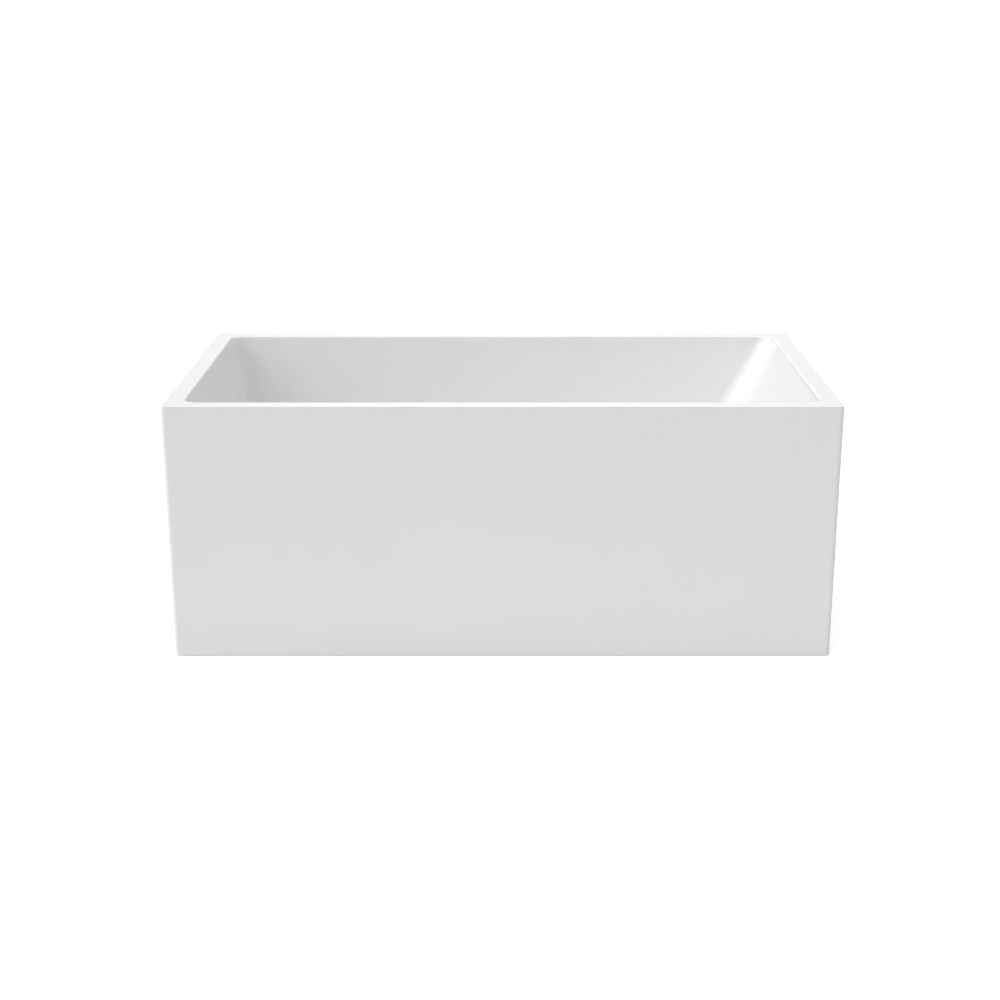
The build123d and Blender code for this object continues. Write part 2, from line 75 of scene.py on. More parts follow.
# --- acrylic shells, in metres --------------------------------------------------------------------
RIM = 40 * MM
RIM_DRAFT = 0.7 * MM
RIM_EDGE_R = 1 * MM
OUTLINE_CORNER_R = 10 * MM
SHARPEST_CORNER_R = 1 * MM
JOINT_EDGE = 0.25 * MM
WELL_EDGE_R = 5 * MM
WELL_FLOOR_Z = BOARD_HIGH.z + BACKING + SHELL
WELL_FLOOR_R = 62 * MM
WELL_TOP_CORNER_R = 32 * MM
WELL_FLOOR_CORNER_R = 90 * MM
DRAIN_END_SLOPE = radians(4.5)
BACKREST_SLOPE = radians(27.0)
SIDE_SLOPE = radians(5.0)
RECESS_R = 39 * MM
RECESS_EDGE_R = 1.2 * MM
RECESS_DEPTH = 3 * MM
DRAIN_HOLE_R = 26 * MM
SKIRT_FOOT_R = 1 * MM
RETURN_WIDTH = 25 * MM
TONGUE = 4 * MM
TONGUE_DROP = 25 * MM
BOND_GAP = 0.5 * MM
LUMPS = 1.6 * MM
LUMP_SPACING = 20 * MM
LUMP_NOISE_SCALE = 45
LUMPS_FADE_LOW = 20 * MM
LUMPS_FADE_HIGH = 10 * MM

# --- how finely shapes are divided ----------------------------------------------------------------
CORNER_STEPS = 12
ROUND_STEPS = 8
SPIN_STEPS = 96
WALL_STEPS = 6
RECESS_STEPS = 4
INNER_REINFORCEMENT_STEPS = 4
OUTER_REINFORCEMENT_STEPS = 44
SMOOTH_ANGLE = radians(35)
LUMPY_SMOOTH_ANGLE = radians(50)
MERGE_DISTANCE = 0.001 * MM
LUMP_CUT_DISTANCE = 0.01 * MM
THREAD_CUT_DISTANCE = 0.0001 * MM


# --- shader helpers -------------------------------------------------------------------------------
def node(tree, kind, inputs, **settings):
    """Add a shader node, wire or set its inputs, and return its outputs."""
    made = tree.nodes.new("ShaderNode" + kind)
    for setting, value in settings.items():
        setattr(made, setting, value)
    for socket, value in inputs.items():
        if isinstance(value, bpy.types.NodeSocket):
            tree.links.new(value, made.inputs[socket])
        else:
            made.inputs[socket].default_value = value
    return made.outputs


def ramp(tree, value, low, high, to_low=0.0, to_high=1.0):
    """Ease a value from one span into another."""
    return node(tree, "MapRange", {"Value": value, "From Min": low, "From Max": high, "To Min": to_low,
                                   "To Max": to_high}, interpolation_type="SMOOTHSTEP")["Result"]


def blend_colours(tree, share, first, second):
    """Mix from the first colour to the second as the share goes from 0 to 1."""
    outputs = node(tree, "Mix", {0: share, 6: first, 7: second}, data_type="RGBA")
    return outputs[2]


def effect(name, inputs, outputs):
    """An empty shader node group with named inputs and outputs. Returns its tree, inputs and result."""
    tree = bpy.data.node_groups.new(name, "ShaderNodeTree")
    for socket, (kind, value) in inputs.items():
        made = tree.interface.new_socket(name=socket, in_out="INPUT", socket_type="NodeSocket" + kind)
        if value is not None:
            made.default_value = value
    for socket, kind in outputs.items():
        tree.interface.new_socket(name=socket, in_out="OUTPUT", socket_type="NodeSocket" + kind)
    return tree, tree.nodes.new("NodeGroupInput").outputs, tree.nodes.new("NodeGroupOutput").inputs


def cloudy_finish():
    """Slow cloudy change of colour and gloss, with a fine grain on top."""
    tree, given, result = effect(
        "cloudy_finish",
        {"Place": ("Vector", None), "Cloud Scale": ("Float", 12.0), "Grain Scale": ("Float", 400.0),
         "Light Colour": ("Color", (0.8, 0.8, 0.8, 1)), "Dark Colour": ("Color", (0.7, 0.7, 0.7, 1)),
         "Smoothest": ("Float", 0.2), "Roughest": ("Float", 0.4)},
        {"Colour": "Color", "Roughness": "Float", "Grain": "Float"})
    cloud = node(tree, "TexNoise", {"Vector": given["Place"], "Scale": given["Cloud Scale"], "Detail": 4.0,
                                    "Roughness": 0.6})[0]
    grain = node(tree, "TexNoise", {"Vector": given["Place"], "Scale": given["Grain Scale"], "Detail": 3.0,
                                    "Roughness": 0.65})[0]
    share = ramp(tree, cloud, 0.35, 0.68)
    both = node(tree, "Math", {0: share, 1: grain}, operation="MULTIPLY")[0]
    tree.links.new(blend_colours(tree, share, given["Light Colour"], given["Dark Colour"]), result["Colour"])
    tree.links.new(ramp(tree, both, 0.05, 0.6, given["Smoothest"], given["Roughest"]), result["Roughness"])
    tree.links.new(grain, result["Grain"])
    return tree


SCRATCH_TURNS = (0.5, 2.2)


def fine_scratches():
    """Short scratches that lie in two directions."""
    tree, given, result = effect("fine_scratches", {"Place": ("Vector", None), "Scale": ("Float", 60.0)},
                                 {"Scratches": "Float"})
    lines = []
    for turn in SCRATCH_TURNS:
        laid = node(tree, "Mapping", {"Vector": given["Place"], "Rotation": (0.3, turn, turn),
                                      "Scale": (1.0, 24.0, 24.0)})[0]
        streak = node(tree, "TexNoise", {"Vector": laid, "Scale": given["Scale"], "Detail": 2.0})[0]
        lines.append(ramp(tree, streak, 0.66, 0.76))
    both = node(tree, "Math", {0: lines[0], 1: lines[1]}, operation="MAXIMUM")[0]
    tree.links.new(both, result["Scratches"])
    return tree


CLOUDY = cloudy_finish()
SCRATCHES = fine_scratches()


def new_material(name):
    """Make a material. Returns it, its node tree, its shader's inputs and the place on the piece."""
    material = bpy.data.materials.new(name)
    material.use_nodes = True
    tree = material.node_tree
    return material, tree, tree.nodes["Principled BSDF"].inputs, node(tree, "TexCoord", {})["Object"]


def set_values(shader, **values):
    """Set a shader's constant inputs by their names, with _ for a space."""
    for socket, value in values.items():
        shader[socket.replace("_", " ")].default_value = value


def use_group(tree, group, **inputs):
    """Add a node group, wire or set its inputs by their names, and return its outputs."""
    holder = tree.nodes.new("ShaderNodeGroup")
    holder.node_tree = group
    for socket, value in inputs.items():
        socket = socket.replace("_", " ")
        if isinstance(value, bpy.types.NodeSocket):
            tree.links.new(value, holder.inputs[socket])
        else:
            holder.inputs[socket].default_value = value
    return holder.outputs


def raise_surface(tree, shader, height, distance, under=None):
    """Tilt the shader's normal as if the surface rose by a height, 0 to 1, times a distance in metres."""
    inputs = {"Height": height, "Distance": distance, "Strength": 1.0}
    if under is not None:
        inputs["Normal"] = under
    normal = node(tree, "Bump", inputs)["Normal"]
    tree.links.new(normal, shader["Normal"])
    return normal


def plain_finish(name, light, dark, smooth, rough, metallic=0.0, cloud=12.0, grain=400.0,
                 relief=0.02 * MM, scratch=0.0):
    """A plain solid finish for metal, plastic or rubber, with cloudy colour and gloss."""
    material, tree, shader, place = new_material(name)
    look = use_group(tree, CLOUDY, Place=place, Cloud_Scale=cloud, Grain_Scale=grain,
                     Light_Colour=light + (1,), Dark_Colour=dark + (1,), Smoothest=smooth, Roughest=rough)
    tree.links.new(look["Colour"], shader["Base Color"])
    set_values(shader, Metallic=metallic, IOR=1.5)
    gloss = look["Roughness"]
    if scratch:
        marks = use_group(tree, SCRATCHES, Place=place, Scale=60.0)["Scratches"]
        gloss = node(tree, "Math", {0: marks, 1: scratch, 2: gloss}, operation="MULTIPLY_ADD")[0]
    tree.links.new(gloss, shader["Roughness"])
    raise_surface(tree, shader, look["Grain"], relief)
    return material


def gloss_acrylic():
    """White sanitary acrylic: deep even gloss, with a very slight waviness from moulding."""
    material, tree, shader, place = new_material("gloss_acrylic")
    set_values(shader, IOR=1.49, Coat_Weight=0.3, Coat_Roughness=0.05)
    look = use_group(tree, CLOUDY, Place=place, Cloud_Scale=2.2, Grain_Scale=900.0,
                     Light_Colour=(0.845, 0.845, 0.842, 1), Dark_Colour=(0.835, 0.836, 0.835, 1),
                     Smoothest=0.1, Roughest=0.15)
    tree.links.new(look["Colour"], shader["Base Color"])
    tree.links.new(look["Roughness"], shader["Roughness"])
    wave = node(tree, "TexNoise", {"Vector": place, "Scale": 5.0, "Detail": 1.0})[0]
    peel = node(tree, "TexNoise", {"Vector": place, "Scale": 160.0, "Detail": 1.0})[0]
    moulded = raise_surface(tree, shader, wave, 0.25 * MM)
    raise_surface(tree, shader, peel, 0.002 * MM, moulded)
    return material


STRAND_TURNS = (0.0, 0.7, 1.4, 2.1, 2.7)


def sprayed_glass_fibre():
    """Cloudy resin over short chopped strands that cross in all directions."""
    material, tree, shader, place = new_material("sprayed_glass_fibre")
    set_values(shader, IOR=1.55, Coat_Weight=0.25, Coat_Roughness=0.2)
    strands = None
    for number, turn in enumerate(STRAND_TURNS):
        laid = node(tree, "Mapping", {"Vector": place, "Location": (number * 0.7, number * 0.3, number * 0.1),
                                      "Rotation": (turn, turn * 1.3, turn), "Scale": (1.0, 18.0, 18.0)})[0]
        hair = node(tree, "TexNoise", {"Vector": laid, "Scale": 22.0, "Detail": 1.5})[0]
        hair = ramp(tree, hair, 0.60, 0.72)
        if strands is None:
            strands = hair
        else:
            strands = node(tree, "Math", {0: strands, 1: hair}, operation="MAXIMUM")[0]
    look = use_group(tree, CLOUDY, Place=place, Cloud_Scale=14.0, Grain_Scale=180.0,
                     Light_Colour=(0.74, 0.72, 0.61, 1), Dark_Colour=(0.62, 0.60, 0.48, 1),
                     Smoothest=0.3, Roughest=0.6)
    colour = blend_colours(tree, strands, look["Colour"], (0.78, 0.77, 0.68, 1))
    tree.links.new(colour, shader["Base Color"])
    tree.links.new(look["Roughness"], shader["Roughness"])
    lumps = raise_surface(tree, shader, look["Grain"], 0.5 * MM)
    raise_surface(tree, shader, strands, 0.25 * MM, lumps)
    return material


PLY_PAIR = 2.9 * MM


def birch_plywood():
    """Rotary-cut face veneer, and light and dark plies on the edges."""
    material, tree, shader, place = new_material("birch_plywood")
    set_values(shader, IOR=1.45)
    along = node(tree, "Mapping", {"Vector": place, "Scale": (1.0, 9.0, 9.0)})[0]
    grain = node(tree, "TexNoise", {"Vector": along, "Scale": 9.0, "Detail": 6.0, "Roughness": 0.6,
                                    "Distortion": 0.6})[0]
    pores = node(tree, "TexNoise", {"Vector": along, "Scale": 140.0, "Detail": 2.0})[0]
    face = blend_colours(tree, ramp(tree, grain, 0.35, 0.65), (0.62, 0.45, 0.27, 1), (0.47, 0.31, 0.17, 1))
    height = node(tree, "SeparateXYZ", {"Vector": place})["Z"]
    plies = node(tree, "Math", {0: height, 1: 2 * pi / PLY_PAIR}, operation="MULTIPLY")[0]
    bands = node(tree, "Math", {0: plies}, operation="SINE")[0]
    edge = blend_colours(tree, ramp(tree, bands, -0.3, 0.3), (0.36, 0.22, 0.12, 1), (0.63, 0.47, 0.29, 1))
    facing = node(tree, "SeparateXYZ", {"Vector": node(tree, "NewGeometry", {})["Normal"]})["Z"]
    on_face = ramp(tree, node(tree, "Math", {0: facing}, operation="ABSOLUTE")[0], 0.4, 0.6)
    tree.links.new(blend_colours(tree, on_face, edge, face), shader["Base Color"])
    tree.links.new(ramp(tree, grain, 0.3, 0.7, 0.55, 0.75), shader["Roughness"])
    raise_surface(tree, shader, pores, 0.12 * MM)
    return material


def galvanised_steel():
    """Hot-dip zinc: flat crystals that each reflect a little differently."""
    material, tree, shader, place = new_material("galvanised_steel")
    set_values(shader, Metallic=1.0)
    flake = node(tree, "TexVoronoi", {"Vector": place, "Scale": 130.0})["Color"]
    tone, shade = list(node(tree, "SeparateColor", {"Color": flake}))[:2]
    look = use_group(tree, CLOUDY, Place=place, Cloud_Scale=9.0, Grain_Scale=500.0,
                     Light_Colour=(0.66, 0.68, 0.69, 1), Dark_Colour=(0.55, 0.57, 0.58, 1),
                     Smoothest=0.3, Roughest=0.5)
    share = ramp(tree, tone, 0.0, 1.0, 0.0, 0.55)
    tree.links.new(blend_colours(tree, share, look["Colour"], (0.43, 0.45, 0.47, 1)), shader["Base Color"])
    uneven = ramp(tree, shade, 0.0, 1.0, -0.08, 0.1)
    gloss = node(tree, "Math", {0: uneven, 1: look["Roughness"]}, operation="ADD")[0]
    tree.links.new(gloss, shader["Roughness"])
    raise_surface(tree, shader, look["Grain"], 0.03 * MM)
    return material


FINISHES = {
    "acrylic": gloss_acrylic(),
    "glass_fibre": sprayed_glass_fibre(),
    "plywood": birch_plywood(),
    "galvanised_steel": galvanised_steel(),
    "zinc_steel": plain_finish("bright_zinc", (0.74, 0.74, 0.72), (0.62, 0.62, 0.56), 0.22, 0.4, metallic=1.0,
                               scratch=0.2),
    "black_plastic": plain_finish("black_plastic", (0.045, 0.045, 0.05), (0.03, 0.03, 0.032), 0.35, 0.55,
                                  grain=900.0, relief=0.03 * MM),
    "rubber": plain_finish("black_rubber", (0.035, 0.035, 0.036), (0.055, 0.054, 0.052), 0.6, 0.85,
                           grain=1200.0, relief=0.04 * MM),
    "nylon": plain_finish("natural_nylon", (0.83, 0.82, 0.76), (0.78, 0.76, 0.69), 0.3, 0.45),
    "chrome": plain_finish("bright_chrome", (0.83, 0.84, 0.86), (0.80, 0.81, 0.83), 0.03, 0.07, metallic=1.0,
                           cloud=25.0, relief=0.001 * MM, scratch=0.1),
    "brass": plain_finish("turned_brass", (0.80, 0.62, 0.30), (0.68, 0.50, 0.22), 0.16, 0.32, metallic=1.0,
                          scratch=0.2),
    "spring_steel": plain_finish("spring_steel", (0.62, 0.62, 0.63), (0.50, 0.50, 0.52), 0.15, 0.3,
                                 metallic=1.0),
}
WELD_METAL = plain_finish("weld_metal", (0.50, 0.50, 0.50), (0.28, 0.26, 0.25), 0.35, 0.6, metallic=1.0,
                          cloud=90.0, relief=0.1 * MM)


def paint_frame_nodes():
    """Give every node of the frame the finish of its own material slot."""
    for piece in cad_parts.values():
        slot = piece.data.materials[0].name
        piece.data.materials.clear()
        piece.data.materials.append(FINISHES[slot])


# --- mesh helpers ---------------------------------------------------------------------------------
def finish_piece(bm, name, body, slot, smooth_angle=SMOOTH_ANGLE, material=None):
    """Make a bmesh into a piece that rides on a body, with smooth faces between its sharp edges."""
    mesh = bpy.data.meshes.new(name)
    bm.to_mesh(mesh)
    bm.free()
    mesh.shade_smooth()
    mesh.set_sharp_from_angle(angle=smooth_angle)
    mesh.materials.append(material or FINISHES[slot])
    piece = bpy.data.objects.new(name, mesh)
    bpy.context.scene.collection.objects.link(piece)
    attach(piece, body)
    return piece


def flat_faces(piece):
    """Keep the flats flat where small rounds run into them."""
    modifier = piece.modifiers.new("flat_faces", "WEIGHTED_NORMAL")
    modifier.keep_sharp = True
    modifier.weight = 100
    return piece


def rounded_ring(bm, low_x, high_x, half_y, corner_r, z):
    """A closed outline with round corners at one height. Returns its points, in the same order each time."""
    kept = set(bm.faces)
    corners = bmesh.ops.create_grid(bm, x_segments=1, y_segments=1, size=1.0)["verts"]
    spread = Matrix.Diagonal(((high_x - low_x) / 2, half_y, 1, 1))
    bmesh.ops.transform(bm, matrix=Matrix.Translation(((low_x + high_x) / 2, 0, z)) @ spread, verts=corners)
    bmesh.ops.bevel(bm, geom=corners, offset=corner_r, offset_type="OFFSET", affect="VERTICES",
                    segments=CORNER_STEPS, profile=0.5, material=-1)
    outline = next(face for face in bm.faces if face not in kept)
    ring = list(outline.verts)
    bmesh.ops.delete(bm, geom=[outline], context="FACES_ONLY")
    return ring


def circle_ring(bm, radius, z, centre=(0.0, 0.0), steps=SPIN_STEPS):
    """The points of a level circle."""
    return bmesh.ops.create_circle(bm, cap_ends=False, segments=steps, radius=radius,
                                   matrix=Matrix.Translation((centre[0], centre[1], z)))["verts"]


def ring_edges(ring):
    """The edges that run round an outline, in its own order."""
    points = set(ring)
    return list(dict.fromkeys(edge for vert in ring for edge in vert.link_edges
                              if edge.other_vert(vert) in points))


def bridge(bm, rings, closed=False):
    """Join each outline to the next with faces, and the last to the first if the section is closed.

    The outlines are joined as a straight stack of the first one, so that every point meets its own
    neighbour, and are then put back in their places.
    """
    places = [[vert.co.copy() for vert in ring] for ring in rings]
    for level, ring in enumerate(rings):
        for vert, place in zip(ring, places[0]):
            vert.co = (place.x, place.y, level)
    pairs = list(zip(rings, rings[1:]))
    if closed:
        pairs.append((rings[-1], rings[0]))
    for first, second in pairs:
        bmesh.ops.bridge_loops(bm, edges=ring_edges(first) + ring_edges(second))
    for ring, ring_places in zip(rings, places):
        for vert, place in zip(ring, ring_places):
            vert.co = place


def face_outwards(bm):
    """Point every face of a closed shape away from its inside."""
    bmesh.ops.recalc_face_normals(bm, faces=bm.faces)
    if bm.calc_volume(signed=True) < 0:
        bmesh.ops.reverse_faces(bm, faces=bm.faces)
    return bm


def join_into(bm, part):
    """Add a finished bmesh to another."""
    scratch = bpy.data.meshes.new("scratch")
    part.to_mesh(scratch)
    part.free()
    bm.from_mesh(scratch)
    bpy.data.meshes.remove(scratch)


def moved(bm, x=0.0, y=0.0, z=0.0):
    """Move a bmesh and return it."""
    bmesh.ops.translate(bm, verts=bm.verts, vec=(x, y, z))
    return bm


LONGEST_EASE = 0.45


def eased(points, ease, steps=4):
    """Round the corners of a (radius, height) section, in millimetres, except its first and last points."""
    out = [points[0]]
    for before, corner, after in zip(points, points[1:], points[2:]):
        corner_at = Vector(corner)
        ends = []
        for other in (before, after):
            run = Vector(other) - corner_at
            ends.append(corner_at + run.normalized() * min(ease, run.length * LONGEST_EASE))
        for step in range(steps + 1):
            t = step / steps
            out.append(tuple(ends[0] * (1 - t) ** 2 + corner_at * 2 * t * (1 - t) + ends[1] * t ** 2))
    out.append(points[-1])
    return out


def turned(points, closed=True, steps=SPIN_STEPS):
    """A solid of revolution about Z through (radius, height) points in millimetres."""
    bm = bmesh.new()
    verts = [bm.verts.new((radius * MM, 0, height * MM)) for radius, height in points]
    edges = [bm.edges.new(pair) for pair in zip(verts, verts[1:])]
    if closed:
        edges.append(bm.edges.new((verts[-1], verts[0])))
    bmesh.ops.spin(bm, geom=verts + edges, axis=(0, 0, 1), cent=(0, 0, 0), angle=2 * pi, steps=steps,
                   use_merge=True)
    bmesh.ops.remove_doubles(bm, verts=bm.verts, dist=MERGE_DISTANCE)
    return face_outwards(bm)


def eased_bar(size, edge_r, segments):
    """A straight bar with rounded edges, its middle at the origin. Sizes in millimetres."""
    bm = bmesh.new()
    bmesh.ops.create_cube(bm, size=1.0)
    bmesh.ops.scale(bm, vec=[side * MM for side in size], verts=bm.verts)
    bmesh.ops.bevel(bm, geom=bm.edges[:], offset=edge_r * MM, offset_type="OFFSET", affect="EDGES",
                    segments=segments, profile=0.5, material=-1)
    return bm


# Where a tooth's root, flanks and crest lie along the pitch, and the turns swept past each end and cut off.
TOOTH_SHARES = (-0.125, 0.125, 0.44, 0.56, 0.875)
SPARE_TURNS = 2


def helical_thread(root_r, crest_r, pitch, low, high, steps=32, bore_r=0.0):
    """A threaded rod, or a tube if it has a bore: one tooth's section swept up a helix. In millimetres."""
    bm = bmesh.new()
    radii = (root_r, root_r, crest_r, crest_r, root_r)
    verts = [bm.verts.new((radius * MM, 0, (low + (share - SPARE_TURNS) * pitch) * MM))
             for radius, share in zip(radii, TOOTH_SHARES)]
    edges = [bm.edges.new(pair) for pair in zip(verts, verts[1:])]
    bmesh.ops.spin(bm, geom=verts + edges, axis=(0, 0, 1), cent=(0, 0, 0), angle=2 * pi,
                   dvec=(0, 0, pitch * MM / steps), steps=steps)
    turn = list(bm.verts) + list(bm.edges) + list(bm.faces)
    for number in range(1, ceil((high - low) / pitch) + 2 * SPARE_TURNS):
        made = bmesh.ops.duplicate(bm, geom=turn)["geom"]
        bmesh.ops.translate(bm, vec=(0, 0, number * pitch * MM),
                            verts=[item for item in made if isinstance(item, bmesh.types.BMVert)])
    bmesh.ops.remove_doubles(bm, verts=bm.verts, dist=MERGE_DISTANCE)
    for z, up in ((low, -1), (high, 1)):
        bmesh.ops.bisect_plane(bm, geom=list(bm.verts) + list(bm.edges) + list(bm.faces),
                               dist=THREAD_CUT_DISTANCE, plane_co=(0, 0, z * MM), plane_no=(0, 0, up),
                               clear_outer=True)
    ends = [edge for edge in bm.edges if edge.is_boundary]
    if bore_r:
        made = bmesh.ops.extrude_edge_only(bm, edges=ends)["geom"]
        for vert in (item for item in made if isinstance(item, bmesh.types.BMVert)):
            shrink = bore_r * MM / vert.co.xy.length
            vert.co = (vert.co.x * shrink, vert.co.y * shrink, vert.co.z)
        bmesh.ops.bridge_loops(bm, edges=[edge for edge in bm.edges if edge.is_boundary])
    else:
        bmesh.ops.holes_fill(bm, edges=ends, sides=0)
    return face_outwards(bm)


HEX_STEPS = 48
HEX_CONE = radians(30)
TURNED_FACE_SHARE = 0.985
BORE_CHAMFER = 0.6 * MM
FLANGE_CHAMFER = 0.3 * MM
FLANGE_DRAFT = 0.2 * MM
FLANGE_EDGE_SHARE = 0.7
HEX_START_SHARE = 1.3


def hex_side(x, y, flats):
    """How far a hexagon's side stands from its middle, in the direction of a point."""
    turn = atan2(y, x) % (pi / 3) - pi / 6
    return flats / 2 / cos(turn)


def hex_ring(bm, flats, z, base_r, up):
    """A hexagon outline that dips at its points, as a cone cuts them off. Sizes in metres."""
    made = circle_ring(bm, 1.0, 0.0, steps=HEX_STEPS)
    for vert in made:
        reach = hex_side(vert.co.x, vert.co.y, flats)
        vert.co = (vert.co.x * reach, vert.co.y * reach, z + up * (reach - base_r) * tan(HEX_CONE))
    return made


def hex_nut(flats, bore_r, low, high):
    """A hexagon nut with turned faces and a chamfered bore. Sizes in millimetres."""
    bm = bmesh.new()
    flats, bore_r, low, high = flats * MM, bore_r * MM, low * MM, high * MM
    base_r = flats / 2 * TURNED_FACE_SHARE
    bridge(bm, [circle_ring(bm, bore_r, low + BORE_CHAMFER, steps=HEX_STEPS),
                circle_ring(bm, bore_r + BORE_CHAMFER, low, steps=HEX_STEPS),
                circle_ring(bm, base_r, low, steps=HEX_STEPS),
                hex_ring(bm, flats, low, base_r, 1),
                hex_ring(bm, flats, high, base_r, -1),
                circle_ring(bm, base_r, high, steps=HEX_STEPS),
                circle_ring(bm, bore_r + BORE_CHAMFER, high, steps=HEX_STEPS),
                circle_ring(bm, bore_r, high - BORE_CHAMFER, steps=HEX_STEPS)], closed=True)
    return face_outwards(bm)


def flange_head(flats, head, flange_r, flange):
    """A hexagon screw head on a round flange, standing on z = 0. Sizes in millimetres."""
    bm = bmesh.new()
    flats, head, flange_r, flange = flats * MM, head * MM, flange_r * MM, flange * MM
    base_r = flats / 2 * TURNED_FACE_SHARE
    foot = circle_ring(bm, flange_r - FLANGE_CHAMFER, 0, steps=HEX_STEPS)
    top = circle_ring(bm, base_r, head, steps=HEX_STEPS)
    bridge(bm, [foot,
                circle_ring(bm, flange_r, FLANGE_CHAMFER, steps=HEX_STEPS),
                circle_ring(bm, flange_r - FLANGE_DRAFT, flange * FLANGE_EDGE_SHARE, steps=HEX_STEPS),
                hex_ring(bm, flats, flange * HEX_START_SHARE, base_r, -1),
                hex_ring(bm, flats, head, base_r, -1),
                top])
    for ring in (foot, top):
        bmesh.ops.contextual_create(bm, geom=ring_edges(ring))
    return face_outwards(bm)


# --- basin and skirt ------------------------------------------------------------------------------
def wall_inset(z, slope, grow):
    """How far a well wall stands in from the rim line at a height, with its top and bottom rounds."""
    top_centre = RIM_Z - WELL_EDGE_R
    floor_centre = WELL_FLOOR_Z + WELL_FLOOR_R
    inset = (RIM_Z - z) * tan(slope) - grow / cos(slope)
    if grow == 0 and z > top_centre + WELL_EDGE_R * sin(slope):
        run = WELL_EDGE_R * tan((pi / 2 - slope) / 2)
        inset = -run + sqrt(max(WELL_EDGE_R ** 2 - (z - top_centre) ** 2, 0))
    elif z < floor_centre - (WELL_FLOOR_R + grow) * sin(slope):
        run = WELL_FLOOR_R * tan((pi / 2 - slope) / 2)
        foot = (RIM_Z - WELL_FLOOR_Z) * tan(slope) + run
        inset = foot - sqrt(max((WELL_FLOOR_R + grow) ** 2 - (z - floor_centre) ** 2, 0))
    return inset


def well_loop(bm, z, grow=0.0):
    """The outline of the well at a height, or of a surface that wraps it at a thickness."""
    share = (RIM_Z - z) / (RIM_Z - WELL_FLOOR_Z)
    corner_r = WELL_TOP_CORNER_R + (WELL_FLOOR_CORNER_R - WELL_TOP_CORNER_R) * share
    corner_r -= wall_inset(z, SIDE_SLOPE, grow) - (RIM_Z - z) * tan(SIDE_SLOPE)
    return rounded_ring(bm, -HALF_LENGTH + RIM + wall_inset(z, DRAIN_END_SLOPE, grow),
                        HALF_LENGTH - RIM - wall_inset(z, BACKREST_SLOPE, grow),
                        HALF_WIDTH - RIM - wall_inset(z, SIDE_SLOPE, grow), corner_r, z)


def outline_loop(bm, inset, z):
    """An outline that follows the tub's outside, at an inset."""
    return rounded_ring(bm, -HALF_LENGTH + inset, HALF_LENGTH - inset, HALF_WIDTH - inset,
                        max(OUTLINE_CORNER_R - inset, SHARPEST_CORNER_R), z)


def quarter(steps):
    """Angles that step over a quarter turn."""
    return [pi / 2 * i / steps for i in range(steps + 1)]


def well_walls(bm, grow, top, wall_steps=WALL_STEPS):
    """The outlines of a well from a height down to its flat floor, grown by a thickness."""
    straight_foot = WELL_FLOOR_Z + WELL_FLOOR_R
    loops = [well_loop(bm, top + (straight_foot - top) * step / wall_steps, grow)
             for step in range(wall_steps)]
    for angle in quarter(2 * ROUND_STEPS):
        loops.append(well_loop(bm, straight_foot - (WELL_FLOOR_R + grow) * sin(angle), grow))
    return loops


def recess_loops(bm, grow):
    """The outlines of the waste's seat from the well's floor to the drain hole."""
    floor = WELL_FLOOR_Z - grow
    radius = RECESS_R + grow
    loops = [circle_ring(bm, radius + RECESS_EDGE_R * (1 - sin(angle)),
                         floor - RECESS_EDGE_R * (1 - cos(angle)), (DRAIN_X, 0))
             for angle in quarter(RECESS_STEPS)]
    loops.append(circle_ring(bm, radius, floor - RECESS_DEPTH + RECESS_EDGE_R / 2, (DRAIN_X, 0)))
    loops.append(circle_ring(bm, radius - RECESS_EDGE_R / 2, floor - RECESS_DEPTH, (DRAIN_X, 0)))
    loops.append(circle_ring(bm, DRAIN_HOLE_R, floor - RECESS_DEPTH, (DRAIN_X, 0)))
    return loops


def basin_shell():
    """The moulded acrylic shell: turned edge, flat rim, well and waste seat, with its own thickness."""
    bm = bmesh.new()
    loops = [outline_loop(bm, JOINT_EDGE, LIP_Z), outline_loop(bm, 0.0, LIP_Z + JOINT_EDGE)]
    for angle in quarter(ROUND_STEPS // 2):
        loops.append(outline_loop(bm, RIM_DRAFT + RIM_EDGE_R * (1 - cos(angle)),
                                  RIM_Z - RIM_EDGE_R * (1 - sin(angle))))
    for angle in reversed(quarter(ROUND_STEPS)[1:]):
        loops.append(well_loop(bm, RIM_Z - WELL_EDGE_R * (1 - sin(angle))))
    inside = loops + well_walls(bm, 0.0, RIM_Z - WELL_EDGE_R)
    outside = well_walls(bm, SHELL, DECK_UNDER)
    seat = recess_loops(bm, 0.0)
    seat_under = recess_loops(bm, SHELL)
    bridge(bm, inside)
    bridge(bm, outside)
    bridge(bm, seat)
    bridge(bm, seat_under)
    bmesh.ops.triangle_fill(bm, use_beauty=True, edges=ring_edges(inside[-1]) + ring_edges(seat[0]))
    bmesh.ops.triangle_fill(bm, use_beauty=True, edges=ring_edges(outside[-1]) + ring_edges(seat_under[0]))
    bridge(bm, [seat[-1], seat_under[-1]])
    bridge(bm, [outside[0], outline_loop(bm, SHELL, DECK_UNDER), outline_loop(bm, SHELL, LIP_Z), inside[0]])
    return face_outwards(bm)


